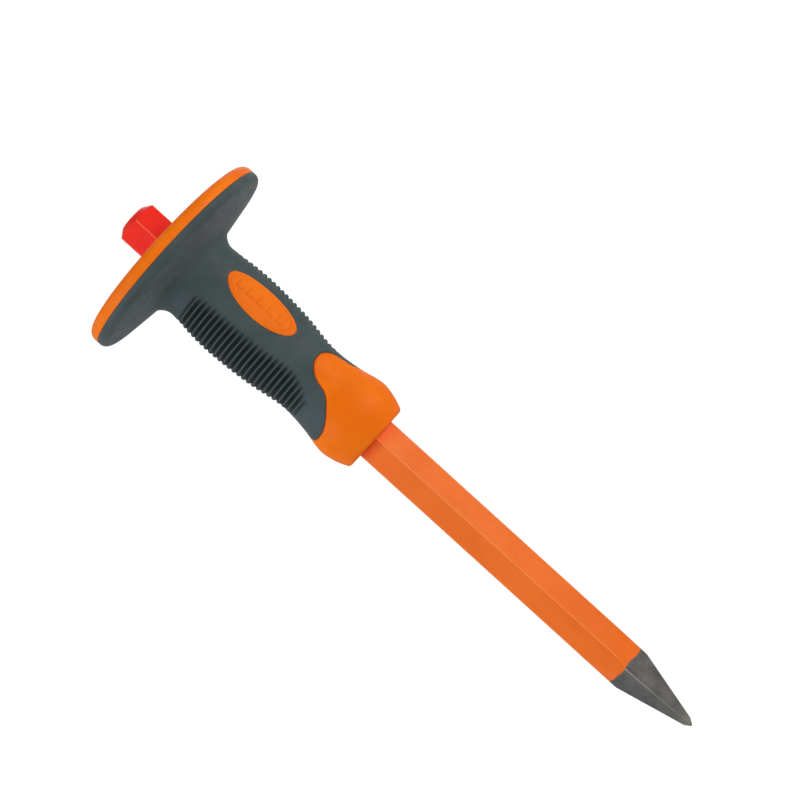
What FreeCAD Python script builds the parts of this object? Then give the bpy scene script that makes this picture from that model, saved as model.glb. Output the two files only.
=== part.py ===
"""Point chisel with a hand guard: one forged hexagonal bar in a two-part moulded grip.

Frame: the origin is on the bar's axis, level with the widest section of the grip. +Z runs along
the bar towards the struck head, and the badges face -Y and +Y. Sizes are in millimetres.
"""
import FreeCAD, Part
import Sketcher
import os

from FreeCAD import Rotation, Vector

doc = FreeCAD.newDocument("point_chisel")


# ---------------------------------------------------------------- driving dimensions

SIZES = [
    # the bar
    ("overall_length", 299.4, "struck face to point"),
    ("bar_flats", 18, "hexagonal bar, across flats"),
    ("bar_edge_round", 0.6, "rounding of the six rolled edges"),
    ("bar_turn", 3.8, "turn of the bar in the grip, clockwise seen from the head, degrees"),
    ("head_stand", 18.4, "struck face above the guard plate"),
    ("head_face_dia", 6, "flat in the middle of the crowned struck face"),
    ("head_crown", 0.4, "fall of the crown from the flat to its rim"),
    ("head_rim_dia", 12.3, "where the crown meets the chamfer"),
    ("head_chamfer", 2, "axial length of the head's chamfer, measured on the flats"),
    ("point_length", 34, "point of the bar to where its four edges meet the flats"),
    ("point_root_width", 13.7, "across the point's faces at point_length"),
    ("point_nose_width", 2.2, "across the point's faces at the nose"),
    ("point_turn", 7, "turn of the point's faces from the bar's flats, degrees"),
    ("nose_half_angle", 34.5, "half angle of the blunt nose, degrees"),
    ("nose_flat_dia", 0.5, "flat left on the very tip"),
    # the guard
    ("guard_up", 36.9, "grip centre to the joint of plate and rubber"),
    ("guard_dia", 91.2, "diameter of plate and rubber guard"),
    ("plate_thickness", 5.1, "hard backing plate"),
    ("plate_round", 3.4, "rounding of the plate's back rim"),
    ("guard_lip", 3.35, "rubber at the rim"),
    ("guard_lip_round", 2.8, "rounding of the rubber rim"),
    ("guard_slope", 10, "slope of the guard's underside, degrees"),
    ("guard_flare", 6.8, "radius where the underside runs into the neck"),
    ("neck_land", 1, "straight neck below the flare"),
    # the grip, half of it symmetric about the bar's axis, as full widths
    ("neck_dia", 35.4, "under the guard"),
    ("shoulder_up", 11, "height of the shoulder section above the grip centre"),
    ("shoulder_width", 40.2, "across the ribbed sides"),
    ("shoulder_depth", 33, "across the badges"),
    ("swell_width", 41, "across the ribbed sides, at the grip centre"),
    ("swell_depth", 32.4, "across the badges, at the grip centre"),
    ("hip_down", 17, "depth of the hip section below the grip centre"),
    ("hip_width", 37.8, "across the ribbed sides"),
    ("hip_depth", 32, "across the badges"),
    ("waist_down", 35, "depth of the waist below the grip centre"),
    ("waist_dia", 30.9, "thinnest part of the grip"),
    # the nose collar, heights measured from its mouth
    ("mouth_down", 69.8, "grip centre to the collar's mouth"),
    ("mouth_dia", 30.2, "before the rim is rounded"),
    ("mouth_round", 1.2, "rounding of the collar's rim"),
    ("cheek_up", 5.8, "height of the cheek section above the mouth"),
    ("cheek_dia", 34.6, "collar between bulge and mouth"),
    ("bulge_up", 12.8, "height of the widest section above the mouth"),
    ("bulge_dia", 36.8, "widest part of the collar"),
    ("root_dia", 32.6, "grip halfway from waist to bulge"),
    ("nose_lip", 3, "collar wall in front of the core sleeve"),
    ("tongue_up", 38.5, "tongue tip above the mouth"),
    ("tongue_width", 15.8, "tongue at its tip, before rounding"),
    ("tongue_root_up", 26.3, "height of the tongue's root above the mouth"),
    ("tongue_root_width", 18, "tongue at its root"),
    ("tongue_round", 7, "rounding of the tongue's corners"),
    ("tongue_root_round", 6, "rounding of the tongue's root"),
    ("lobe_up", 17, "rubber's lowest edge above the mouth, on the ribbed sides"),
    ("lobe_width", 35.6, "width at which that edge is reached"),
    # the ribs, cut as grooves
    ("rib_top_up", 19.9, "height of the first groove's upper edge"),
    ("rib_pitch", 2.37, "groove to groove"),
    ("groove_width", 0.9, "width of one groove"),
    ("groove_depth", 0.9, "depth of one groove"),
    ("rib_panel_top", 28.6, "smooth panel between the grooves at the top"),
    ("rib_panel_middle", 27.4, "smooth panel at the grip centre"),
    ("rib_panel_low", 21.4, "smooth panel at the hip"),
    ("rib_end_down", 6, "foot of the ribbed zone below the waist"),
    ("rib_run", 61.6, "length of the ribbed zone"),
    # badges, sleeve and fits
    ("badge_down", 1.4, "grip centre to the middle of the oval badges"),
    ("badge_length", 34.8, "oval badge along the grip"),
    ("badge_width", 15.2, "oval badge across the grip"),
    ("badge_gap", 0.1, "clearance all round a badge in its window"),
    ("core_wall", 1.8, "sleeve wall over the bar's corners"),
    ("bar_gap", 0.05, "clearance on each flat of the bar"),
]

sheet = doc.addObject("Spreadsheet::Sheet", "Sizes")
for row, (name, value, meaning) in enumerate(SIZES, start=1):
    sheet.set(f"A{row}", name)
    sheet.set(f"B{row}", str(value))
    sheet.set(f"C{row}", meaning)
    sheet.setAlias(f"B{row}", name)
doc.recompute()
CLOCKWISE = Rotation(Vector(0, 0, -1), 1)


def number(expression):
    """The present value of an expression of sheet cells."""
    return float(sheet.evalExpression(expression.replace("Sizes.", "")))


# Places along the axis, as expressions.
SEAM = "Sizes.guard_up"
PLATE_BACK = f"({SEAM} + Sizes.plate_thickness)"
HEAD = f"({PLATE_BACK} + Sizes.head_stand)"
TIP = f"({HEAD} - Sizes.overall_length)"
MOUTH = "(-Sizes.mouth_down)"
BULGE = f"({MOUTH} + Sizes.bulge_up)"
WAIST = "(-Sizes.waist_down)"
LIP_EDGE = f"({SEAM} - Sizes.guard_lip)"
FLARE_CORNER = (
    f"({LIP_EDGE} - (Sizes.guard_dia - Sizes.neck_dia) / 2 * tan(Sizes.guard_slope))"
)
FLARE_START = f"({FLARE_CORNER} - Sizes.guard_flare * tan((90 - Sizes.guard_slope) / 2))"
NECK = f"({FLARE_START} - Sizes.neck_land)"

# Radii shared by pieces that fit each other.
BAR_CORNER = "(Sizes.bar_flats / sqrt(3))"
BORE_CORNER = "((Sizes.bar_flats + 2 * Sizes.bar_gap) / sqrt(3))"
CORE_RADIUS = f"({BORE_CORNER} + Sizes.core_wall)"
REACH = "(Sizes.guard_dia + Sizes.bulge_dia)"


# ---------------------------------------------------------------- shared ways of making

def bind(thing, **sizes):
    """Bind properties to expressions; a double underscore stands for a dot."""
    for path, expression in sizes.items():
        thing.setExpression(path.replace("__", "."), expression)
    return thing


def attach(feature, body, plane):
    """Lay a sketch or a primitive on one of its own body's origin planes."""
    origin_plane = [f for f in body.Origin.OriginFeatures if f.Role == plane][0]
    feature.AttachmentSupport = [(origin_plane, "")]
    feature.MapMode = "FlatFace"


def outline(body, plane, name, corners):
    """A closed sketch of straight lines, each corner dimensioned from the origin."""
    sketch = body.newObject("Sketcher::SketchObject", name)
    attach(sketch, body, plane)
    points = [Vector(number(x), number(y), 0) for x, y in corners]
    count = len(points)
    for i in range(count):
        sketch.addGeometry(Part.LineSegment(points[i], points[(i + 1) % count]))
    for i in range(count):
        sketch.addConstraint(Sketcher.Constraint("Coincident", i, 2, (i + 1) % count, 1))
    for i, (x, y) in enumerate(corners):
        for kind, axis, text, value in (
            ("DistanceX", -2, x, points[i].x),
            ("DistanceY", -1, y, points[i].y),
        ):
            if text == "0":
                sketch.addConstraint(Sketcher.Constraint("PointOnObject", i, 1, axis))
                continue
            index = sketch.addConstraint(Sketcher.Constraint(kind, -1, 1, i, 1, value))
            sketch.setExpression(f"Constraints[{index}]", text)
    return sketch


def edges_where(shape, test):
    """Names of the edges of a shape whose ends and middle all pass a test."""
    names = []
    for i, edge in enumerate(shape.Edges, start=1):
        middle = edge.valueAt((edge.FirstParameter + edge.LastParameter) / 2)
        if all(test(p) for p in [middle] + [v.Point for v in edge.Vertexes]):
            names.append(f"Edge{i}")
    return names


def near(a, b):
    return abs(a - b) < 1e-4


def rounded(body, base, name, radius, test):
    """A fillet on the edges of a body's feature that pass a test."""
    doc.recompute()
    fillet = body.newObject("PartDesign::Fillet", name)
    fillet.Base = (base, edges_where(base.Shape, test))
    bind(fillet, Radius=radius)
    return fillet


def boolean(kind, name, base, tool):
    made = doc.addObject(f"Part::{kind}", name)
    made.Base = base
    made.Tool = tool
    return made


def hexagon(name, corner_radius, bottom, top):
    """A hexagonal column round the axis, turned as the bar is."""
    column = doc.addObject("Part::Prism", name)
    column.Polygon = 6
    column.Placement.Rotation = CLOCKWISE
    return bind(
        column,
        Circumradius=corner_radius,
        Height=f"{top} - {bottom}",
        Placement__Base__z=bottom,
        Placement__Rotation__Angle="Sizes.bar_turn",
    )


# ---------------------------------------------------------------- chisel bar
# Hexagonal stock, a turned chamfer and a blunt nose, and four forged faces for the point.

bar = doc.addObject("PartDesign::Body", "chisel_bar")
stock = bar.newObject("PartDesign::AdditivePrism", "hex_stock")
stock.Polygon = 6
attach(stock, bar, "XY_Plane")
bind(stock, Circumradius=BAR_CORNER, Height="Sizes.overall_length", AttachmentOffset__Base__z=TIP)
rolled = rounded(
    bar, stock, "rolled_edges", "Sizes.bar_edge_round",
    lambda p: near(p.x ** 2 + p.y ** 2, number(BAR_CORNER) ** 2),
)


def turned(name, corners):
    """Turn material off the bar, outside a profile in the XZ plane."""
    cut = bar.newObject("PartDesign::Groove", name)
    cut.Profile = outline(bar, "XZ_Plane", f"{name}_profile", corners)
    cut.ReferenceAxis = (cut.Profile[0], ["V_Axis"])
    cut.Angle = 360
    return cut


CLEAR = "Sizes.bar_flats"
HEAD_RIM = f"({HEAD} - Sizes.head_crown)"
HEAD_SLOPE = "(Sizes.head_chamfer / (Sizes.bar_flats / 2 - Sizes.head_rim_dia / 2))"
head_groove = turned("head_chamfer", [
    ("Sizes.head_face_dia / 2", HEAD),
    ("Sizes.head_rim_dia / 2", HEAD_RIM),
    (CLEAR, f"{HEAD_RIM} - ({CLEAR} - Sizes.head_rim_dia / 2) * {HEAD_SLOPE}"),
    (CLEAR, HEAD),
])
nose_groove = turned("nose_cone", [
    ("Sizes.nose_flat_dia / 2", TIP),
    (CLEAR, TIP),
    (CLEAR, f"{TIP} + ({CLEAR} - Sizes.nose_flat_dia / 2) / tan(Sizes.nose_half_angle)"),
])

# One face of the point: everything outside a line that leaves the axis with the face's slope.
FACE_SLOPE = "((Sizes.point_root_width - Sizes.point_nose_width) / 2 / Sizes.point_length)"
face = bar.newObject("PartDesign::Pocket", "point_face")
face.Profile = outline(bar, "XZ_Plane", "point_face_profile", [
    ("Sizes.point_nose_width / 2", TIP),
    (CLEAR, TIP),
    (CLEAR, f"{TIP} + ({CLEAR} - Sizes.point_nose_width / 2) / {FACE_SLOPE}"),
])
face.Profile[0].AttachmentOffset = FreeCAD.Placement(Vector(), Rotation(Vector(0, 1, 0), 1))
bind(face.Profile[0], AttachmentOffset__Rotation__Angle="Sizes.point_turn")
face.Type = "ThroughAll"
face.Midplane = True
doc.recompute()
uncut_volume = nose_groove.Shape.Volume
point = bar.newObject("PartDesign::PolarPattern", "point_faces")
point.Originals = [face]
point.Axis = (face.Profile[0], ["V_Axis"])
point.Angle = 360
point.Occurrences = 4
bar.Tip = point
bar.Placement.Rotation = CLOCKWISE
bind(bar, Placement__Rotation__Angle="Sizes.bar_turn")


# ---------------------------------------------------------------- guard plate
# A hard disc with a rounded back rim and a hexagonal hole for the bar.

plate = doc.addObject("PartDesign::Body", "guard_plate")
disc = plate.newObject("PartDesign::AdditiveCylinder", "disc")
attach(disc, plate, "XY_Plane")
bind(
    disc, Radius="Sizes.guard_dia / 2", Height="Sizes.plate_thickness",
    AttachmentOffset__Base__z=SEAM,
)
back_rim = rounded(
    plate, disc, "back_rim", "Sizes.plate_round", lambda p: near(p.z, number(PLATE_BACK))
)
hole = plate.newObject("PartDesign::SubtractivePrism", "bar_hole")
hole.Polygon = 6
attach(hole, plate, "XY_Plane")
hole.AttachmentOffset = FreeCAD.Placement(Vector(), CLOCKWISE)
bind(
    hole, Circumradius=BORE_CORNER, Height="2 * Sizes.plate_thickness",
    AttachmentOffset__Base__z=f"{SEAM} - Sizes.plate_thickness / 2",
    AttachmentOffset__Rotation__Angle="Sizes.bar_turn",
)
plate.Tip = hole


# ---------------------------------------------------------------- outer form of the grip
# Oval sections lofted from the neck to the collar's mouth, and the flared guard turned on top.

SECTIONS = [
    # name, height, width across the ribbed sides, depth across the badges
    ("neck", NECK, "Sizes.neck_dia", "Sizes.neck_dia"),
    ("shoulder", "Sizes.shoulder_up", "Sizes.shoulder_width", "Sizes.shoulder_depth"),
    ("swell", "0", "Sizes.swell_width", "Sizes.swell_depth"),
    ("hip", "-Sizes.hip_down", "Sizes.hip_width", "Sizes.hip_depth"),
    ("waist", WAIST, "Sizes.waist_dia", "Sizes.waist_dia"),
    ("root", f"({WAIST} + {BULGE}) / 2", "Sizes.root_dia", "Sizes.root_dia"),
    ("bulge", BULGE, "Sizes.bulge_dia", "Sizes.bulge_dia"),
    ("cheek", f"{MOUTH} + Sizes.cheek_up", "Sizes.cheek_dia", "Sizes.cheek_dia"),
    ("mouth", MOUTH, "Sizes.mouth_dia", "Sizes.mouth_dia"),
]


def lofted(name, inset):
    """The grip's form through its sections, each drawn in by an inset."""
    rings = []
    for section, height, width, depth in SECTIONS:
        ring = doc.addObject("Part::Ellipse", f"{name}_{section}")
        bind(
            ring,
            MajorRadius=f"max({width}; {depth}) / 2 - {inset}",
            MinorRadius=f"min({width}; {depth}) / 2 - {inset}",
            Placement__Base__z=height,
        )
        rings.append(ring)
    loft = doc.addObject("Part::Loft", name)
    loft.Sections = rings
    loft.Solid = True
    loft.Ruled = False
    return loft


grip_loft = lofted("grip_loft", "0")
doc.recompute()
mouth_rim = doc.addObject("Part::Fillet", "mouth_rim")
mouth_rim.Base = grip_loft
mouth_edges = edges_where(grip_loft.Shape, lambda p: near(p.z, number(MOUTH)))
mouth_radius = number("mouth_round")
mouth_rim.Edges = [(int(e[4:]), mouth_radius, mouth_radius) for e in mouth_edges]

flange = doc.addObject("PartDesign::Body", "flange_form")
flange_turn = flange.newObject("PartDesign::Revolution", "flange_turn")
flange_turn.Profile = outline(flange, "XZ_Plane", "flange_profile", [
    ("0", NECK),
    ("Sizes.neck_dia / 2", NECK),
    ("Sizes.neck_dia / 2", FLARE_CORNER),
    ("Sizes.guard_dia / 2", LIP_EDGE),
    ("Sizes.guard_dia / 2", SEAM),
    ("0", SEAM),
])
flange_turn.ReferenceAxis = (flange_turn.Profile[0], ["V_Axis"])
flange_turn.Angle = 360
flare = rounded(
    flange, flange_turn, "flare", "Sizes.guard_flare",
    lambda p: near(p.z, number(FLARE_CORNER)),
)
lip = rounded(
    flange, flare, "lip", "Sizes.guard_lip_round", lambda p: near(p.z, number(LIP_EDGE))
)
flange.Tip = lip

form = doc.addObject("Part::MultiFuse", "outer_form")
form.Shapes = [mouth_rim, flange]


# ---------------------------------------------------------------- core sleeve
# A hard tube pressed on the bar. It runs from the collar's lip to the guard plate.

CORE_FOOT = f"({MOUTH} + Sizes.nose_lip)"
core_outside = doc.addObject("Part::Cylinder", "core_outside")
bind(
    core_outside, Radius=CORE_RADIUS, Height=f"{SEAM} - {CORE_FOOT}",
    Placement__Base__z=CORE_FOOT,
)
bar_bore = hexagon("bar_bore", BORE_CORNER, f"({MOUTH} - Sizes.nose_lip)", PLATE_BACK)
core = boolean("Cut", "core_sleeve", core_outside, bar_bore)


# ---------------------------------------------------------------- nose collar
# Everything below a stepped boundary: a ring at the front with a tongue on each badge side.

collar_block = doc.addObject("PartDesign::Body", "collar_block")
TONGUE_TIP = f"({MOUTH} + Sizes.tongue_up)"
TONGUE_ROOT = f"({MOUTH} + Sizes.tongue_root_up)"
LOBE = f"({MOUTH} + Sizes.lobe_up)"
BELOW = f"({MOUTH} - Sizes.nose_lip)"
left_side = [
    ("-Sizes.tongue_width / 2", TONGUE_TIP),
    ("-Sizes.tongue_root_width / 2", TONGUE_ROOT),
    ("-Sizes.lobe_width / 2", LOBE),
    (f"-{REACH} / 2", LOBE),
    (f"-{REACH} / 2", BELOW),
]
right_side = [(x[1:], y) for x, y in reversed(left_side)]
block_pad = collar_block.newObject("PartDesign::Pad", "collar_pad")
block_pad.Profile = outline(collar_block, "XZ_Plane", "collar_profile", left_side + right_side)
block_pad.Midplane = True
bind(block_pad, Length=REACH)
tip_x = number("tongue_width / 2")
tip_z = number(TONGUE_TIP)
block_tips = rounded(
    collar_block, block_pad, "tongue_corners", "Sizes.tongue_round",
    lambda p: near(abs(p.x), tip_x) and near(p.z, tip_z),
)
root_x = number("tongue_root_width / 2")
root_z = number(TONGUE_ROOT)
block_roots = rounded(
    collar_block, block_tips, "tongue_roots", "Sizes.tongue_root_round",
    lambda p: near(abs(p.x), root_x) and near(p.z, root_z),
)
collar_block.Tip = block_roots

collar_solid = boolean("Common", "collar_solid", form, collar_block)
collar_seat = boolean("Cut", "collar_seat", collar_solid, core_outside)
collar = boolean("Cut", "nose_collar", collar_seat, bar_bore)


# ---------------------------------------------------------------- badges and their windows

def oval(name, gap, side):
    """An oval column from the axis out through one badge side of the grip."""
    rim = doc.addObject("Part::Ellipse", f"{name}_rim")
    rim.Placement.Rotation = Rotation(Vector(1, 1, 1), 240)
    bind(
        rim,
        MajorRadius=f"Sizes.badge_length / 2 + {gap}",
        MinorRadius=f"Sizes.badge_width / 2 + {gap}",
        Placement__Base__z="-Sizes.badge_down",
    )
    column = doc.addObject("Part::Extrusion", name)
    column.Base = rim
    column.DirMode = "Custom"
    column.Dir = Vector(0, side, 0)
    column.Solid = True
    bind(column, LengthFwd=REACH)
    return column


windows = []
badges = []
for label, side in (("front_badge", -1), ("back_badge", 1)):
    windows.append(oval(f"{label}_window", "Sizes.badge_gap", side))
    blank = boolean("Common", f"{label}_blank", form, oval(f"{label}_oval", "0", side))
    badges.append(boolean("Cut", label, blank, core_outside))


# ---------------------------------------------------------------- grooves between the ribs
# Evenly spaced slots, clipped to a zone on each side and kept to the groove's depth.

RIB_TOP = "(Sizes.rib_top_up - Sizes.groove_width / 2)"
slots = []
slot_count = int(number("rib_run") / number("rib_pitch")) + 1
for i in range(slot_count):
    slot = doc.addObject("Part::Box", f"slot_{i + 1}")
    bind(
        slot, Length=REACH, Width=REACH, Height="Sizes.groove_width",
        Placement__Base__x=f"-{REACH} / 2", Placement__Base__y=f"-{REACH} / 2",
        Placement__Base__z=f"{RIB_TOP} - Sizes.groove_width / 2 - {i} * Sizes.rib_pitch",
    )
    slots.append(slot)
comb = doc.addObject("Part::Compound", "comb")
comb.Links = slots

groove_floor = lofted("groove_floor", "Sizes.groove_depth")
RIB_FOOT = f"({WAIST} - Sizes.rib_end_down)"
ZONE_TOP = f"({NECK} + Sizes.groove_width)"
grooves = []
for name, sign in (("right_grooves", ""), ("left_grooves", "-")):
    zone = doc.addObject("PartDesign::Body", f"{name}_zone")
    zone_pad = zone.newObject("PartDesign::Pad", f"{name}_pad")
    zone_pad.Profile = outline(zone, "XZ_Plane", f"{name}_profile", [
        (f"{sign}Sizes.rib_panel_top / 2", ZONE_TOP),
        (f"{sign}Sizes.rib_panel_middle / 2", "0"),
        (f"{sign}Sizes.rib_panel_low / 2", "-Sizes.hip_down * 1.5"),
        (f"{sign}Sizes.rib_panel_low / 2", WAIST),
        (f"{sign}Sizes.waist_dia / 2", RIB_FOOT),
        (f"{sign}{REACH} / 2", RIB_FOOT),
        (f"{sign}{REACH} / 2", ZONE_TOP),
    ])
    zone_pad.Midplane = True
    bind(zone_pad, Length=REACH)
    clipped = boolean("Common", f"{name}_clipped", comb, zone)
    grooves.append(boolean("Cut", name, clipped, groove_floor))


# ---------------------------------------------------------------- grip overmould

grip = boolean("Cut", "grip_above_collar", form, collar_block)
grip = boolean("Cut", "grip_bored", grip, core_outside)
for window in windows:
    grip = boolean("Cut", f"grip_with_{window.Name}", grip, window)
for groove in grooves:
    grip = boolean("Cut", f"grip_with_{groove.Name}", grip, groove)
grip.Label = "grip_overmould"


# ---------------------------------------------------------------- check and write

doc.recompute()
for thing in doc.Objects:
    failed = {"Invalid", "Error"} & set(thing.State)
    if failed:
        raise SystemExit(f"{thing.Label} is {failed}")
if point.Shape.Volume >= uncut_volume:
    raise SystemExit("the point's faces cut nothing")

os.makedirs("parts", exist_ok=True)
for piece in [bar, core, plate, grip, collar] + badges:
    shape = piece.Shape
    if shape.isNull() or not shape.isValid():
        raise SystemExit(f"{piece.Label} has no valid shape")
    if len(shape.Solids) != 1:
        raise SystemExit(f"{piece.Label} has {len(shape.Solids)} solids")
    shape.exportStep(f"parts/{piece.Label}.step")
    box = shape.BoundBox
    print(
        f"{piece.Label}: {shape.Volume:.0f} mm3, z {box.ZMin:.1f} to {box.ZMax:.1f},"
        f" {box.XLength:.1f} by {box.YLength:.1f}"
    )
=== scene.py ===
"""Point chisel with a hand guard: a forged hexagonal bar in a two-colour moulded grip."""

import math

import bmesh
import bpy
from mathutils import Matrix, Vector


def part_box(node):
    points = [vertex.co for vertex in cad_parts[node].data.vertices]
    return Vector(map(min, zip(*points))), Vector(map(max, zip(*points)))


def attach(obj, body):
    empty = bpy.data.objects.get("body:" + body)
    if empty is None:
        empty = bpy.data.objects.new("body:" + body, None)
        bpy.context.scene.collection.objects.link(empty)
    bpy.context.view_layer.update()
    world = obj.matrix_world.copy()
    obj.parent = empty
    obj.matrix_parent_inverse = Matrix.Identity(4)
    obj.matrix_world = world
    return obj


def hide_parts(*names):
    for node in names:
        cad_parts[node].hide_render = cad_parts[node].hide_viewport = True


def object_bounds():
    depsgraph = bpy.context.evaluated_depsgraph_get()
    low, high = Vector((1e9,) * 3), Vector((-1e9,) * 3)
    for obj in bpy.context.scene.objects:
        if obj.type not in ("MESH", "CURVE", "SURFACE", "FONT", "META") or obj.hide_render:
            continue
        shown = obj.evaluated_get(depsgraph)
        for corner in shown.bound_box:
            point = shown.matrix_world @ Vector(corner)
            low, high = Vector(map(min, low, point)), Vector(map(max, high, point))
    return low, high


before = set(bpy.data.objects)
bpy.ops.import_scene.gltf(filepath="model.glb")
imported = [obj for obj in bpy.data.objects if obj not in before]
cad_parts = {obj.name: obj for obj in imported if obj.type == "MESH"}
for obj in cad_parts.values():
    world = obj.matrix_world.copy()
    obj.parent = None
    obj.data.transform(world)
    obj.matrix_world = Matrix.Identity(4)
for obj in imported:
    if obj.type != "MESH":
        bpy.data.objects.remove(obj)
cad_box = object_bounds()


# ------------------------------------------------------------------ studio
# A camera square to the tool, a plain white floor under the point, and three soft boxes: a
# large key from the right, a cooler fill from the left and a weak one behind.

MM = 0.001
VIEW_AZIMUTH = math.radians(-36.3)
AIM_DOWN = 66.6 * MM
AIM_RIGHT = 17.83 * MM
ROLL = math.radians(47.77)
VIEW_DISTANCE = 0.85

toward_camera = Vector((math.sin(VIEW_AZIMUTH), -math.cos(VIEW_AZIMUTH), 0))
tool_up = Vector((0, 0, 1))
tool_right = tool_up.cross(toward_camera)
picture_up = math.cos(ROLL) * tool_up + math.sin(ROLL) * tool_right
picture_right = picture_up.cross(toward_camera)

camera = bpy.data.objects.new("camera", bpy.data.cameras.new("camera"))
bpy.context.scene.collection.objects.link(camera)
camera.data.lens = 96.5
camera.data.sensor_width = 36
camera.data.clip_start = 0.01
place = Matrix((picture_right, picture_up, toward_camera)).transposed().to_4x4()
place.translation = tool_right * AIM_RIGHT - tool_up * AIM_DOWN + toward_camera * VIEW_DISTANCE
camera.matrix_world = place
bpy.context.scene.camera = camera


def node(tree, kind, values=(), **settings):
    """A shader node with its settings, its inputs set or linked."""
    made = tree.nodes.new(kind)
    for name, value in settings.items():
        setattr(made, name, value)
    for socket, value in dict(values).items():
        if isinstance(value, bpy.types.NodeSocket):
            tree.links.new(value, made.inputs[socket])
        else:
            made.inputs[socket].default_value = value
    return made


LAMP_AIM = Vector((0, 0, -70 * MM))


def soft_box(name, direction, distance, width, height, power, colour):
    """A rectangular lamp that looks at the middle of the tool."""
    lamp = bpy.data.lights.new(name, "AREA")
    lamp.shape = "RECTANGLE"
    lamp.size = width
    lamp.size_y = height
    lamp.energy = power
    lamp.color = colour
    holder = bpy.data.objects.new(name, lamp)
    bpy.context.scene.collection.objects.link(holder)
    holder.location = LAMP_AIM + direction.normalized() * distance
    holder.rotation_euler = direction.to_track_quat("Z", "Y").to_euler()


WARM = (1, 0.965, 0.90)
COOL = (0.94, 0.97, 1)
from_right = tool_right * 0.85 - tool_up * 0.2 + toward_camera * 0.5
from_left = -tool_right + toward_camera * 0.45 + tool_up * 0.35
from_behind = -toward_camera + tool_right * 0.3 + tool_up * 0.5
soft_box("key", from_right, 1.1, 0.7, 0.9, 16.5, WARM)
soft_box("fill", from_left, 1.2, 0.6, 0.9, 8.8, COOL)
soft_box("rear", from_behind, 1.2, 0.8, 0.8, 2.5, COOL)

WHITE_OUT = 1.05
world = bpy.data.worlds.new("studio")
world.use_nodes = True
bpy.context.scene.world = world
sky = world.node_tree
sky.nodes.clear()
rays = node(sky, "ShaderNodeLightPath")
seen = node(sky, "ShaderNodeBackground", {"Color": (1, 1, 1, 1), "Strength": WHITE_OUT})
lit = node(sky, "ShaderNodeBackground", {"Color": (1, 1, 1, 1), "Strength": 0.44})
mixed = node(
    sky, "ShaderNodeMixShader",
    {0: rays.outputs["Is Camera Ray"], 1: lit.outputs[0], 2: seen.outputs[0]},
)
node(sky, "ShaderNodeOutputWorld", {"Surface": mixed.outputs[0]})
bpy.context.scene.view_settings.view_transform = "Standard"


FLOOR_HALF = 3
FLOOR_DROP = 30 * MM
floor_mesh = bmesh.new()
bmesh.ops.create_grid(floor_mesh, x_segments=2, y_segments=2, size=FLOOR_HALF)
bmesh.ops.translate(floor_mesh, verts=floor_mesh.verts, vec=(0, 0, cad_box[0][2] - FLOOR_DROP))
floor_data = bpy.data.meshes.new("floor")
floor_mesh.to_mesh(floor_data)
floor_mesh.free()
floor = bpy.data.objects.new("floor", floor_data)
bpy.context.scene.collection.objects.link(floor)
floor_paint = bpy.data.materials.new("white_floor")
floor_paint.use_nodes = True
floor_tree = floor_paint.node_tree
floor_tree.nodes.clear()
floor_rays = node(floor_tree, "ShaderNodeLightPath")
floor_seen = node(floor_tree, "ShaderNodeEmission", {"Color": (1, 1, 1, 1), "Strength": WHITE_OUT})
floor_lit = node(floor_tree, "ShaderNodeBsdfDiffuse", {"Color": (0.7, 0.7, 0.7, 1)})
floor_mix = node(
    floor_tree, "ShaderNodeMixShader",
    {0: floor_rays.outputs["Is Camera Ray"], 1: floor_lit.outputs[0], 2: floor_seen.outputs[0]},
)
node(floor_tree, "ShaderNodeOutputMaterial", {"Surface": floor_mix.outputs[0]})
floor_data.materials.append(floor_paint)


# ------------------------------------------------------------------ chisel bar
# One piece of forged hexagonal steel. The head is turned to a chamfer and painted red, the shank
# is orange enamel over satin steel, and the four forged faces of the point are left bare.

BAR_LOW, BAR_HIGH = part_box("chisel_bar")
FLATS = 18 * MM
EDGE_ROUND = 0.6 * MM
BAR_TURN = math.radians(-3.8)
POINT_TURN = math.radians(7)
POINT_NOSE = 1.1 * MM
POINT_ROOT = 6.85 * MM
POINT_LENGTH = 34 * MM
POINT_ANGLE = math.atan((POINT_ROOT - POINT_NOSE) / POINT_LENGTH)
RIDGE_ROUND = 0.45 * MM
NOSE_ANGLE = math.radians(34.5)
NOSE_FLAT = 0.25 * MM
HEAD_FACE = 3 * MM
HEAD_CROWN = 0.4 * MM
HEAD_RIM = 6.15 * MM
HEAD_CHAMFER = 2 * MM
CREASE = math.radians(24)

bar_mesh = bmesh.new()
bmesh.ops.create_cone(
    bar_mesh, cap_ends=True, segments=6, radius1=FLATS / math.sqrt(3), radius2=FLATS / math.sqrt(3),
    depth=BAR_HIGH.z - BAR_LOW.z,
)
bmesh.ops.translate(bar_mesh, verts=bar_mesh.verts, vec=(0, 0, (BAR_HIGH.z + BAR_LOW.z) / 2))
first_corner = min(math.atan2(v.co.y, v.co.x) % (math.pi / 3) for v in bar_mesh.verts)
bmesh.ops.rotate(bar_mesh, verts=bar_mesh.verts, matrix=Matrix.Rotation(BAR_TURN - first_corner, 3, "Z"))


def shave(mesh, point_on, outward):
    """Cut away what lies outside a plane and close the cut."""
    cut = bmesh.ops.bisect_plane(
        mesh, geom=list(mesh.verts) + list(mesh.edges) + list(mesh.faces), dist=1e-7,
        plane_co=point_on, plane_no=outward, clear_outer=True,
    )
    rim = [e for e in cut["geom_cut"] if isinstance(e, bmesh.types.BMEdge)]
    if rim:
        bmesh.ops.edgeloop_fill(mesh, edges=rim)


def ring_of_planes(count, start, radius, height, tilt):
    """Shave the bar all round with planes that lean in by tilt, as turning or forging would."""
    for i in range(count):
        angle = BAR_TURN + start + 2 * math.pi * i / count
        side = Vector((math.cos(angle), math.sin(angle), 0))
        outward = side * math.cos(tilt) + Vector((0, 0, math.sin(tilt)))
        shave(bar_mesh, side * radius + Vector((0, 0, height)), outward)


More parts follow.
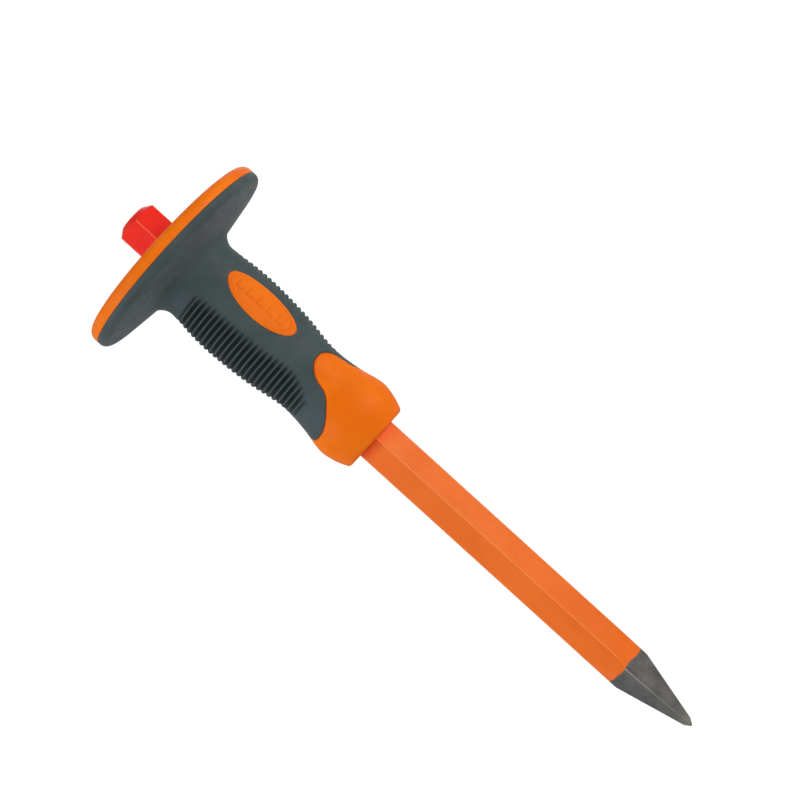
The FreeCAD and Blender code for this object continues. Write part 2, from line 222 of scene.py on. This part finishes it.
# The rolled edges are arcs of five facets, and the point's ridges of three.
edge_centre = (FLATS / 2 - EDGE_ROUND) / math.cos(math.pi / 6)
for step in (-20, -10, 0, 10, 20):
    lean = math.radians(step)
    ring_of_planes(6, lean, edge_centre * math.cos(lean) + EDGE_ROUND, 0, 0)
ring_of_planes(4, POINT_TURN, POINT_NOSE, BAR_LOW.z, -POINT_ANGLE)
for step in (-22.5, 0, 22.5):
    reach = math.sqrt(2) * math.cos(math.radians(step))
    ring_of_planes(
        4, POINT_TURN + math.radians(45 + step), (POINT_NOSE - RIDGE_ROUND) * reach + RIDGE_ROUND,
        BAR_LOW.z, -math.atan(math.tan(POINT_ANGLE) * reach),
    )
# The nose, the head's chamfer and its crown are turned, so they are cut by many planes.
ring_of_planes(24, 0, NOSE_FLAT, BAR_LOW.z, -NOSE_ANGLE)
ring_of_planes(48, 0, HEAD_RIM, BAR_HIGH.z - HEAD_CROWN, math.atan2(FLATS / 2 - HEAD_RIM, HEAD_CHAMFER))
ring_of_planes(24, 0, HEAD_FACE, BAR_HIGH.z, math.atan2(HEAD_RIM - HEAD_FACE, HEAD_CROWN))
bmesh.ops.recalc_face_normals(bar_mesh, faces=bar_mesh.faces)
for e in bar_mesh.edges:
    e.smooth = e.calc_face_angle(0) < CREASE
for f in bar_mesh.faces:
    f.smooth = True


def arithmetic(tree, operation, first, second=0.0):
    return node(tree, "ShaderNodeMath", {0: first, 1: second}, operation=operation).outputs[0]


def ramp(tree, value, low, high, low_to=0.0, high_to=1.0):
    """A smooth step of a value between two limits."""
    made = node(
        tree, "ShaderNodeMapRange",
        {"Value": value, "From Min": low, "From Max": high, "To Min": low_to, "To Max": high_to},
        interpolation_type="SMOOTHSTEP",
    )
    return made.outputs["Result"]


def noise(tree, vector, scale, detail=2.0, roughness=0.5):
    made = node(
        tree, "ShaderNodeTexNoise",
        {"Vector": vector, "Scale": scale, "Detail": detail, "Roughness": roughness},
    )
    return made.outputs["Fac"]


def blend(tree, factor, first, second, kind="RGBA"):
    slots = {"RGBA": (6, 7, 2), "FLOAT": (2, 3, 0)}[kind]
    made = node(tree, "ShaderNodeMix", {0: factor, slots[0]: first, slots[1]: second}, data_type=kind)
    return made.outputs[slots[2]]


def new_group(name, inputs, output, kind):
    """A node group's tree with its inputs by name, and the socket that takes its one result."""
    tree = bpy.data.node_groups.new(name, "ShaderNodeTree")
    for label, socket in inputs.items():
        tree.interface.new_socket(name=label, in_out="INPUT", socket_type=socket)
    tree.interface.new_socket(name=output, in_out="OUTPUT", socket_type=kind)
    return tree, node(tree, "NodeGroupInput").outputs, node(tree, "NodeGroupOutput").inputs[output]


# Two tones that drift into each other over the surface, for every finish.
clouded, given, result = new_group(
    "clouded_tone",
    {"Vector": "NodeSocketVector", "Scale": "NodeSocketFloat", "Deep": "NodeSocketColor",
     "Pale": "NodeSocketColor"},
    "Color", "NodeSocketColor",
)
drift = ramp(clouded, noise(clouded, given["Vector"], given["Scale"], 4, 0.6), 0.32, 0.70)
clouded.links.new(blend(clouded, drift, given["Deep"], given["Pale"]), result)

# The fine unevenness of a surface, as a normal.
grained, given, result = new_group(
    "fine_grain",
    {"Vector": "NodeSocketVector", "Scale": "NodeSocketFloat", "Strength": "NodeSocketFloat"},
    "Normal", "NodeSocketVector",
)
uneven = node(
    grained, "ShaderNodeBump",
    {"Height": noise(grained, given["Vector"], given["Scale"], 3), "Strength": given["Strength"],
     "Distance": 0.25 * MM},
)
grained.links.new(uneven.outputs[0], result)


def clouded_tone(tree, spot, scale, deep, pale):
    values = {"Vector": spot, "Scale": scale, "Deep": (*deep, 1), "Pale": (*pale, 1)}
    return node(tree, "ShaderNodeGroup", values, node_tree=clouded).outputs["Color"]


def fine_grain(tree, spot, scale, strength):
    values = {"Vector": spot, "Scale": scale, "Strength": strength}
    return node(tree, "ShaderNodeGroup", values, node_tree=grained).outputs["Normal"]


def material(name):
    """A material with a Principled shader and nothing else yet."""
    made = bpy.data.materials.new(name)
    made.use_nodes = True
    tree = made.node_tree
    tree.nodes.clear()
    shader = node(tree, "ShaderNodeBsdfPrincipled")
    node(tree, "ShaderNodeOutputMaterial", {"Surface": shader.outputs[0]})
    return made, tree, shader


def finished(mesh, name, finish, cad_node):
    """A named object from a bmesh, with its finish, in place of a CAD node on the one body."""
    data = bpy.data.meshes.new(name)
    mesh.to_mesh(data)
    mesh.free()
    data.materials.append(finish)
    piece = bpy.data.objects.new(name, data)
    bpy.context.scene.collection.objects.link(piece)
    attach(piece, "root")
    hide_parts(cad_node)
    return piece


# Enamel stops at a slightly uneven line above the point. It turns red under the guard, and a little
# redder at the collar's mouth as painted reflection and shade of the collar. Painted highlights make
# it paler along the rolled edges and brighten the point's ridges.
# Where the painted highlight along the rolled edges fades in, and its pale tone.
EDGE_INSIDE = 10.18 * MM
EDGE_OUTSIDE = 10.30 * MM
EDGE_HIGHLIGHT_TONE = (0.90, 0.36, 0.13, 1)
BRIGHT_STEEL = (0.36, 0.34, 0.30, 1)
PAINT_END = BAR_LOW.z + 36 * MM
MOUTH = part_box("nose_collar")[0].z
bar_finish, tree, shader = material("enamelled_forged_steel")
spot = node(tree, "ShaderNodeTexCoord").outputs["Object"]
axes = node(tree, "ShaderNodeSeparateXYZ", {0: spot}).outputs
wander = ramp(tree, noise(tree, spot, 110, 1), 0.3, 0.7, -0.6 * MM, 0.6 * MM)
uneven_line = arithmetic(tree, "ADD", axes["Z"], wander)
painted = ramp(tree, uneven_line, PAINT_END - 0.3 * MM, PAINT_END + 0.3 * MM)
orange = clouded_tone(tree, spot, 55, (0.80, 0.145, 0.014), (0.85, 0.165, 0.018))
red = clouded_tone(tree, spot, 55, (0.84, 0.012, 0.004), (0.88, 0.022, 0.007))
# Red paint under the guard, and a painted reflection and shade of the collar just below its mouth.
red_head_and_mouth_reflection = arithmetic(
    tree, "MAXIMUM", ramp(tree, axes["Z"], -12 * MM, 12 * MM),
    ramp(tree, axes["Z"], MOUTH - 5 * MM, MOUTH, 0.0, 0.35),
)
flat_spot = node(tree, "ShaderNodeVectorMath", {0: spot, 1: (1, 1, 0)}, operation="MULTIPLY").outputs[0]
from_axis = node(tree, "ShaderNodeVectorMath", {0: flat_spot}, operation="LENGTH").outputs["Value"]
# A painted highlight: paler enamel along the rolled edges of the hex.
edge_highlight = ramp(tree, from_axis, EDGE_INSIDE, EDGE_OUTSIDE, 0.0, 0.4)
enamel = blend(tree, edge_highlight, blend(tree, red_head_and_mouth_reflection, orange, red), EDGE_HIGHLIGHT_TONE)
squared = node(
    tree, "ShaderNodeMapping", {"Vector": spot, "Rotation": (0, 0, -BAR_TURN - POINT_TURN)},
)
across = node(tree, "ShaderNodeSeparateXYZ", {0: squared.outputs[0]}).outputs
sides = [arithmetic(tree, "ABSOLUTE", across[axis]) for axis in ("X", "Y")]
evenness = arithmetic(
    tree, "DIVIDE", arithmetic(tree, "MINIMUM", *sides), arithmetic(tree, "MAXIMUM", *sides),
)
# A painted highlight along the point's four ridges, and bare steel paler towards the tip.
ridge_highlight_and_bright_tip = arithmetic(
    tree, "MAXIMUM", ramp(tree, evenness, 0.90, 0.99, 0.0, 0.8),
    ramp(tree, axes["Z"], BAR_LOW.z + 9 * MM, BAR_LOW.z, 0.0, 0.55),
)
forged = clouded_tone(tree, spot, 150, (0.105, 0.103, 0.100), (0.150, 0.148, 0.143))
bare = blend(tree, ridge_highlight_and_bright_tip, forged, BRIGHT_STEEL)
tree.links.new(blend(tree, painted, bare, enamel), shader.inputs["Base Color"])
tree.links.new(blend(tree, painted, 0.6, 0.0, "FLOAT"), shader.inputs["Metallic"])
roughness = blend(
    tree, painted, ramp(tree, noise(tree, spot, 500, 3), 0.3, 0.7, 0.45, 0.6),
    ramp(tree, noise(tree, spot, 120, 3), 0.3, 0.7, 0.32, 0.42), "FLOAT",
)
tree.links.new(roughness, shader.inputs["Roughness"])
tree.links.new(
    fine_grain(tree, spot, 900, blend(tree, painted, 0.30, 0.05, "FLOAT")), shader.inputs["Normal"],
)
shader.inputs["Specular IOR Level"].default_value = 0.08

bar = finished(bar_mesh, "bar", bar_finish, "chisel_bar")
weighted = bar.modifiers.new("flat_faces", "WEIGHTED_NORMAL")
weighted.keep_sharp = True
weighted.weight = 100


# ------------------------------------------------------------------ guard plate
# A hard moulded disc behind the rubber guard. It fits the bar with a hexagonal hole, and its
# back rim is rounded.

PLATE_LOW, PLATE_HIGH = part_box("guard_plate")
GUARD_RADIUS = PLATE_HIGH.x
QUARTER = math.pi / 2
PLATE_ROUND = 3.4 * MM
HOLE_FLATS = 18.1 * MM
HOLE_BAND = 0.5 * MM
# The small rounding where plate and rubber meet at the rim.
BREAK = 0.25 * MM
FOLD = math.radians(50)


def wrapped(columns, rows, surface):
    """A closed skin: a grid rolled round the bar, each point put where surface(column, row) says."""
    mesh = bmesh.new()
    bmesh.ops.create_grid(mesh, x_segments=columns, y_segments=rows, size=0.5)
    for v in mesh.verts:
        column = round((v.co.x + 0.5) * columns) % columns
        row = round((v.co.y + 0.5) * rows) % rows
        v.co = surface(column, row)
    bmesh.ops.remove_doubles(mesh, verts=mesh.verts, dist=1e-7)
    bmesh.ops.recalc_face_normals(mesh, faces=mesh.faces)
    for e in mesh.edges:
        e.smooth = e.calc_face_angle(0) < FOLD
    for f in mesh.faces:
        f.smooth = True
    return mesh


def hexagon_radius(azimuth, flats):
    """Distance from the axis to the wall of a hexagonal hole for the bar."""
    from_flat = ((azimuth - BAR_TURN) % (math.pi / 3)) - math.pi / 6
    return flats / 2 / math.cos(from_flat)


def rounded_corner(centre_r, centre_z, radius, start, stop, steps):
    """Points of a round edge in a section, angles from the radial direction towards +Z."""
    return [
        (centre_r + radius * math.cos(a), centre_z + radius * math.sin(a))
        for a in [start + (stop - start) * i / steps for i in range(steps + 1)]
    ]


# A section of the plate as radius and height; within the band, radius is from the hole's wall.
plate_section = (
    [(0, PLATE_LOW.z), (HOLE_BAND, PLATE_LOW.z)]
    + [(GUARD_RADIUS * f, PLATE_LOW.z) for f in (0.4, 0.7, 0.95)]
    + rounded_corner(GUARD_RADIUS - BREAK, PLATE_LOW.z + BREAK, BREAK, -QUARTER, 0, 3)
    + rounded_corner(GUARD_RADIUS - PLATE_ROUND, PLATE_HIGH.z - PLATE_ROUND, PLATE_ROUND, 0, QUARTER, 10)
    + [(GUARD_RADIUS * f, PLATE_HIGH.z) for f in (0.9, 0.7, 0.4)]
    + [(HOLE_BAND, PLATE_HIGH.z), (0, PLATE_HIGH.z)]
)
PLATE_COLUMNS = 180


def plate_surface(column, row):
    azimuth = 2 * math.pi * column / PLATE_COLUMNS
    radius, height = plate_section[row]
    if radius <= HOLE_BAND:
        radius += hexagon_radius(azimuth, HOLE_FLATS)
    return Vector((radius * math.cos(azimuth), radius * math.sin(azimuth), height))


plate_mesh = wrapped(PLATE_COLUMNS, len(plate_section), plate_surface)

orange_plastic, tree, shader = material("satin_orange_moulding")
spot = node(tree, "ShaderNodeTexCoord").outputs["Object"]
tone = clouded_tone(tree, spot, 40, (0.80, 0.140, 0.003), (0.85, 0.178, 0.005))
tree.links.new(tone, shader.inputs["Base Color"])
tree.links.new(ramp(tree, noise(tree, spot, 300, 3), 0.3, 0.7, 0.42, 0.52), shader.inputs["Roughness"])
tree.links.new(fine_grain(tree, spot, 1600, 0.03), shader.inputs["Normal"])
shader.inputs["Specular IOR Level"].default_value = 0.07

finished(plate_mesh, "plate", orange_plastic, "guard_plate")


# ------------------------------------------------------------------ grip overmould
# Soft grey rubber over the sleeve: a flared guard, an oval handle with rows of ribs on its two
# sides, and a smooth panel front and back for the badges. It is bonded as it is moulded.

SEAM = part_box("grip_overmould")[1].z
CORE_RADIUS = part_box("core_sleeve")[1].x
NECK_RADIUS = 17.7 * MM
FLARE = 6.8 * MM
UNDER_SLOPE = math.radians(10)
LIP = 3.35 * MM
LIP_ROUND = 2.8 * MM

lip_low = SEAM - LIP
flare_corner = lip_low - (GUARD_RADIUS - NECK_RADIUS) * math.tan(UNDER_SLOPE)
flare_start = flare_corner - FLARE * math.tan((QUARTER - UNDER_SLOPE) / 2)
NECK = flare_start - 1 * MM

# Half width across the ribs and half depth across the badges, at heights from neck to mouth.
GRIP_SECTIONS = [
    (NECK / MM, 17.7, 17.7), (11, 20.1, 16.5), (0, 20.5, 16.2), (-17, 18.9, 16), (-35, 15.45, 15.45),
    (-46, 16.3, 16.3), (-57, 18.4, 18.4), (-64, 17.3, 17.3), (-69.8, 15.1, 15.1),
]


def smooth_through(points, x):
    """A smooth curve through points with falling x, by cubic pieces with shared slopes."""
    last = len(points) - 1
    i = next((k for k in range(last) if x >= points[k + 1][0]), last - 1)

    def slope(k):
        before, after = max(k - 1, 0), min(k + 1, last)
        return (points[after][1] - points[before][1]) / (points[after][0] - points[before][0])

    (x0, y0), (x1, y1) = points[i], points[i + 1]
    span = x1 - x0
    t = (x - x0) / span
    return (
        (2 * t ** 3 - 3 * t ** 2 + 1) * y0 + (t ** 3 - 2 * t ** 2 + t) * span * slope(i)
        + (3 * t ** 2 - 2 * t ** 3) * y1 + (t ** 3 - t ** 2) * span * slope(i + 1)
    )


def half_width(height):
    return smooth_through([(z, a) for z, a, b in GRIP_SECTIONS], height / MM) * MM


def half_depth(height):
    return smooth_through([(z, b) for z, a, b in GRIP_SECTIONS], height / MM) * MM


def on_grip(turn, height, sink=0.0):
    """A point of the oval form; turn 0 is the front badge's middle, growing towards +X."""
    a, b = half_width(height), half_depth(height)
    outward = Vector((math.sin(turn) / a, -math.cos(turn) / b, 0)).normalized()
    return Vector((a * math.sin(turn), -b * math.cos(turn), height)) - outward * sink


# The joint of grip and collar, seen from the front: a tongue with rounded corners and a slope
# down to the ribbed sides, as height above the mouth against distance from the middle.
TONGUE = [
    (0.0, 38.5), (1.5, 38.4), (3.0, 37.95), (4.5, 37.0), (6.0, 35.5), (7.3, 33.4), (8.1, 31.1),
    (8.6, 29.0), (9.1, 27.3), (10.4, 25.1), (12.2, 22.9), (14.2, 20.6), (16.2, 18.4), (18.0, 16.8),
    (25.0, 16.0),
]
JOINT_SEARCH = (10 * MM, 39.1 * MM)


def joint_height(turn):
    """Height of the joint on the form at a turn, found by stepping down the form."""
    low, high = MOUTH + JOINT_SEARCH[0], MOUTH + JOINT_SEARCH[1]
    for _ in range(40):
        middle = (low + high) / 2
        across = abs(half_width(middle) * math.sin(turn)) / MM
        target = MOUTH + smooth_through([(-x, y) for x, y in TONGUE], -across) * MM
        if middle > target:
            high = middle
        else:
            low = middle
    return (low + high) / 2


# Columns are spaced evenly along the joint, so its steep flanks are as smooth as its tip.
JOINT_COLUMNS = 240
FINE = 2880
MEAN_RADIUS = 16 * MM
fine_turns = [2 * math.pi * i / FINE for i in range(FINE + 1)]
fine_heights = [joint_height(t) for t in fine_turns[: FINE // 4 + 1]]
fine_heights = fine_heights + fine_heights[-2::-1]
fine_heights = fine_heights + fine_heights[1:]
run = [0.0]
for i in range(FINE):
    across = (fine_turns[i + 1] - fine_turns[i]) * MEAN_RADIUS
    run.append(run[-1] + math.hypot(across, fine_heights[i + 1] - fine_heights[i]))
column_turns = []
cursor = 0
for c in range(JOINT_COLUMNS):
    target = run[-1] * c / JOINT_COLUMNS
    while run[cursor + 1] < target:
        cursor += 1
    part = (target - run[cursor]) / (run[cursor + 1] - run[cursor])
    column_turns.append(fine_turns[cursor] + part * (fine_turns[cursor + 1] - fine_turns[cursor]))
column_joints = [joint_height(t) for t in column_turns]


def joint_inward(column):
    """Unit step from the joint into the collar, as (turn, height) per metre."""
    before, after = (column - 1) % JOINT_COLUMNS, (column + 1) % JOINT_COLUMNS
    swing = (column_turns[after] - column_turns[before]) % (2 * math.pi)
    radius = (half_width(column_joints[column]) + half_depth(column_joints[column])) / 2
    run_across = swing * radius
    rise = column_joints[after] - column_joints[before]
    size = math.hypot(run_across, rise)
    return rise / size / radius, -run_across / size


JOINT_ROUND = 0.3 * MM
JOINT_GAP = 0.015 * MM
JOINT_STEPS = [(math.cos(a), 1 - math.sin(a)) for a in [QUARTER * k / 4 for k in range(4)]]

lip_centre = (
    GUARD_RADIUS - LIP_ROUND,
    lip_low + LIP_ROUND / math.cos(UNDER_SLOPE) - LIP_ROUND * math.tan(UNDER_SLOPE),
)
flange_section = (
    [(CORE_RADIUS, SEAM), (GUARD_RADIUS * 0.6, SEAM), (GUARD_RADIUS - 1 * MM, SEAM)]
    + rounded_corner(GUARD_RADIUS - BREAK, SEAM - BREAK, BREAK, QUARTER, 0, 3)
    + rounded_corner(*lip_centre, LIP_ROUND, 0, -QUARTER + UNDER_SLOPE, 7)
    + [
        (r, flare_corner + (r - NECK_RADIUS) * math.tan(UNDER_SLOPE))
        for r in [GUARD_RADIUS * f for f in (0.9, 0.84, 0.78, 0.72, 0.66, 0.6)]
    ]
    + [
        (NECK_RADIUS + FLARE - FLARE * math.cos(a), flare_start + FLARE * math.sin(a))
        for a in [(QUARTER - UNDER_SLOPE) * (1 - k / 12) for k in range(13)]
    ]
)

RIB_PITCH = 2.37 * MM
RIB_COUNT = 27
RIB_DEPTH = 0.9 * MM
RIB_TOP = 20.6 * MM
RIB_FADE = 4.5
END_RIBS = 1.2
# Half width of the smooth panel between the two ribbed zones, against height.
RIB_PANEL = [
    (25, 16.5), (21, 14.0), (18.4, 13.3), (15.7, 12.9), (8, 12.6), (0, 12.4), (-12, 11.7), (-17, 11.1),
    (-23, 10.0), (-29, 9.5), (-33, 10.2), (-37, 11.5), (-40, 12.9), (-42, 14.2),
]


def rib_share(turn, height):
    """Distance from a rib's crest, 0 to 1 at the valley, and how far the ribs have faded in."""
    across = abs(half_width(height) * math.sin(turn)) / MM
    edge = smooth_through(RIB_PANEL, min(max(height / MM, RIB_PANEL[-1][0]), RIB_PANEL[0][0]))
    place = (RIB_TOP - height) / RIB_PITCH
    within = min((across - edge) / RIB_FADE, place / END_RIBS, (RIB_COUNT - 1 - place) / END_RIBS)
    share = min(max(within, 0), 1)
    return abs(place - round(place)) * 2, share * share * (3 - 2 * share)


LOWEST = MOUTH + 17 * MM
# Rows within this height of the joint are squeezed so that the last one follows it.
JOINT_BLEND = 5 * MM
rib_stop = RIB_TOP - (RIB_COUNT - 1) * RIB_PITCH
body_heights = []
RIB_ROWS = (0, 0.12, 0.23, 0.36, 0.5, 0.64, 0.77, 0.88)
for rib in range(RIB_COUNT - 1):
    for share in RIB_ROWS:
        body_heights.append(RIB_TOP - (rib + share) * RIB_PITCH)
PLAIN_ROWS = 30
body_heights += [rib_stop + (LOWEST - rib_stop) * k / PLAIN_ROWS for k in range(PLAIN_ROWS + 1)]


def grip_surface(column, row):
    turn = column_turns[column]
    joint = column_joints[column]
    if row < len(flange_section):
        radius, height = flange_section[row]
        return Vector((radius * math.sin(turn), -radius * math.cos(turn), height))
    row -= len(flange_section)
    if row < len(body_heights):
        height = body_heights[row]
        hold = joint + JOINT_BLEND
        if height < hold:
            stop = joint + JOINT_ROUND + JOINT_GAP
            height = hold - (hold - height) * (hold - stop) / (hold - LOWEST)
        # A groove is at full depth halfway through the fade, which its painted shade follows to the end.
        from_crest, share = rib_share(turn, height)
        return on_grip(turn, height, RIB_DEPTH * min(2 * share, 1) * from_crest ** 2)
    row -= len(body_heights)
    if row < len(JOINT_STEPS):
        along, sink = JOINT_STEPS[row]
        turn_step, height_step = joint_inward(column)
        away = -JOINT_ROUND * along
        return on_grip(turn + turn_step * away, joint + height_step * away, JOINT_ROUND * sink)
    row -= len(JOINT_STEPS)
    if row == 0:
        return on_grip(turn, joint, JOINT_ROUND)
    foot = Vector((CORE_RADIUS * math.sin(turn), -CORE_RADIUS * math.cos(turn), joint))
    if row == 1:
        return foot
    foot.z = (joint + SEAM) / 2
    return foot


grip_total = len(flange_section) + len(body_heights) + len(JOINT_STEPS) + 3
grip_mesh = wrapped(JOINT_COLUMNS, grip_total, grip_surface)

# Painted shade: the rubber is darkened in the valleys between the ribs.
VALLEY_SHADE = (0.006, 0.010, 0.013, 1)
grey_rubber, tree, shader = material("fine_matt_rubber")
spot = node(tree, "ShaderNodeTexCoord").outputs["Object"]
tone = clouded_tone(tree, spot, 60, (0.046, 0.065, 0.070), (0.060, 0.080, 0.084))
valley_shade = ramp(tree, node(tree, "ShaderNodeAttribute", attribute_name="groove").outputs["Fac"], 0.10, 0.45)
ribbed = node(tree, "ShaderNodeAttribute", attribute_name="ribbed").outputs["Fac"]
tone = blend(tree, arithmetic(tree, "MULTIPLY", valley_shade, ribbed), tone, VALLEY_SHADE)
tree.links.new(tone, shader.inputs["Base Color"])
tree.links.new(ramp(tree, noise(tree, spot, 260, 3), 0.3, 0.7, 0.55, 0.68), shader.inputs["Roughness"])
tree.links.new(fine_grain(tree, spot, 2600, 0.16), shader.inputs["Normal"])
shader.inputs["Specular IOR Level"].default_value = 0.16
shader.inputs["Sheen Weight"].default_value = 0.08
shader.inputs["Sheen Roughness"].default_value = 0.4

BORE_SKIN = 0.2 * MM
groove_layer = grip_mesh.verts.layers.float.new("groove")
ribbed_layer = grip_mesh.verts.layers.float.new("ribbed")
for v in grip_mesh.verts:
    if math.hypot(v.co.x, v.co.y) > CORE_RADIUS + BORE_SKIN:
        turn = math.atan2(v.co.x / half_width(v.co.z), -v.co.y / half_depth(v.co.z))
        from_crest, share = rib_share(turn, v.co.z)
        v[groove_layer] = from_crest
        v[ribbed_layer] = share
finished(grip_mesh, "grip", grey_rubber, "grip_overmould")


# ------------------------------------------------------------------ nose collar
# An orange moulding that closes the front of the grip round the bar. Two tongues run up from it
# into the rubber, under the badges.

MOUTH_ROUND = 1.2 * MM
COLLAR_ROWS = 90
MOUTH_STEPS = 6
# The lip that closes on the bar: its height, its broken edge and the flat face round it.
LIP_HEIGHT = 3 * MM
LIP_BREAK = 0.3 * MM
MOUTH_FACE = 1.0 * MM


def collar_surface(column, row):
    turn = column_turns[column]
    joint = column_joints[column]
    turn_step, height_step = joint_inward(column)
    if row == 0:
        return on_grip(turn, joint, JOINT_ROUND)
    row -= 1
    if row < len(JOINT_STEPS):
        along, sink = JOINT_STEPS[len(JOINT_STEPS) - 1 - row]
        step = JOINT_ROUND * along
        return on_grip(turn + turn_step * step, joint + height_step * step, JOINT_ROUND * sink)
    row -= len(JOINT_STEPS)
    if row < COLLAR_ROWS:
        share = (row + 1) / COLLAR_ROWS
        start_turn = turn + turn_step * JOINT_ROUND
        start = joint + height_step * JOINT_ROUND
        ease = (1 - share) ** 2
        height = start + (MOUTH + MOUTH_ROUND - start) * share
        return on_grip(turn + (start_turn - turn) * ease, height)
    row -= COLLAR_ROWS
    if row < MOUTH_STEPS:
        angle = QUARTER * (row + 1) / MOUTH_STEPS
        sink = MOUTH_ROUND * (1 - math.cos(angle))
        return on_grip(turn, MOUTH + MOUTH_ROUND * (1 - math.sin(angle)), sink)
    row -= MOUTH_STEPS
    direction = Vector((math.sin(turn), -math.cos(turn), 0))
    azimuth = math.atan2(direction.y, direction.x)
    wall = hexagon_radius(azimuth, HOLE_FLATS)
    lip_top = MOUTH + LIP_HEIGHT
    stations = [
        (wall + MOUTH_FACE, MOUTH), (wall + LIP_BREAK, MOUTH), (wall, MOUTH + LIP_BREAK), (wall, lip_top),
        (CORE_RADIUS, lip_top), (CORE_RADIUS, joint),
    ]
    radius, height = stations[row]
    return direction * radius + Vector((0, 0, height))


COLLAR_INSIDE = 6
collar_total = 1 + len(JOINT_STEPS) + COLLAR_ROWS + MOUTH_STEPS + COLLAR_INSIDE
collar_mesh = wrapped(JOINT_COLUMNS, collar_total, collar_surface)
finished(collar_mesh, "collar", orange_plastic, "nose_collar")


# ------------------------------------------------------------------ badges
# Oval orange inserts in windows of the grip, front and back. Their faces are plain but for a
# shallow raised bead and a row of five raised pads.

BADGE_HALF = (7.6 * MM, 17.4 * MM)
BADGE_DOWN = 1.4 * MM
BADGE_PROUD = 0.35 * MM
BEAD_AT = 0.86
BEAD_HALF = 0.04
BEAD_HEIGHT = 0.2 * MM
PAD_PITCH = 5.2 * MM
PAD_HALF = (2.1 * MM, 1.9 * MM)
PAD_HEIGHT = 0.28 * MM
PAD_EDGE = 0.35 * MM
RINGS = 56
SPOKES = 180
# The rim rolls over from this share of the way out.
ROLL_START = 0.95
# The wall under the rim starts at this share of the rim's distance from the axis.
BADGE_EDGE_DROP = 0.93


def badge_relief(share, across, along):
    """Height of the badge's face over the grip, from its middle (share 0) to its rim (1)."""
    edge = max((share - ROLL_START) / (1 - ROLL_START), 0)
    crown = BADGE_PROUD * math.sqrt(max(1 - edge * edge, 0))
    bead = BEAD_HEIGHT * max(1 - ((share - BEAD_AT) / BEAD_HALF) ** 2, 0)
    nearest = min(max(round(along / PAD_PITCH), -2), 2) * PAD_PITCH
    inside = min(PAD_HALF[0] - abs(across), PAD_HALF[1] - abs(along - nearest))
    return crown + bead + PAD_HEIGHT * min(max(inside / PAD_EDGE, 0), 1)


for name, side, cad_node in (("badge_front", 1, "front_badge"), ("badge_back", -1, "back_badge")):
    badge_mesh = bmesh.new()
    bmesh.ops.create_grid(badge_mesh, x_segments=SPOKES, y_segments=RINGS + 2, size=0.5)
    for v in badge_mesh.verts:
        angle = 2 * math.pi * (round((v.co.x + 0.5) * SPOKES) % SPOKES) / SPOKES
        ring = round((v.co.y + 0.5) * (RINGS + 2))
        share = min(ring / RINGS, 1)
        across = BADGE_HALF[0] * share * math.cos(angle)
        along = BADGE_HALF[1] * share * math.sin(angle)
        height = along - BADGE_DOWN
        face = on_grip(math.asin(across / half_width(height)), height, -badge_relief(share, across, along))
        if ring == RINGS + 1:
            face.y *= BADGE_EDGE_DROP
        if ring == RINGS + 2:
            face = Vector((0, -CORE_RADIUS, -BADGE_DOWN))
        v.co = (face.x, face.y * side, face.z)
    bmesh.ops.remove_doubles(badge_mesh, verts=badge_mesh.verts, dist=1e-7)
    bmesh.ops.recalc_face_normals(badge_mesh, faces=badge_mesh.faces)
    for f in badge_mesh.faces:
        f.smooth = True
    finished(badge_mesh, name, orange_plastic, cad_node)


# ------------------------------------------------------------------ core sleeve
# The hidden tube between bar and grip keeps its own shape, in the same orange as the collar.

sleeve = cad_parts["core_sleeve"]
sleeve.data.materials.clear()
sleeve.data.materials.append(orange_plastic)
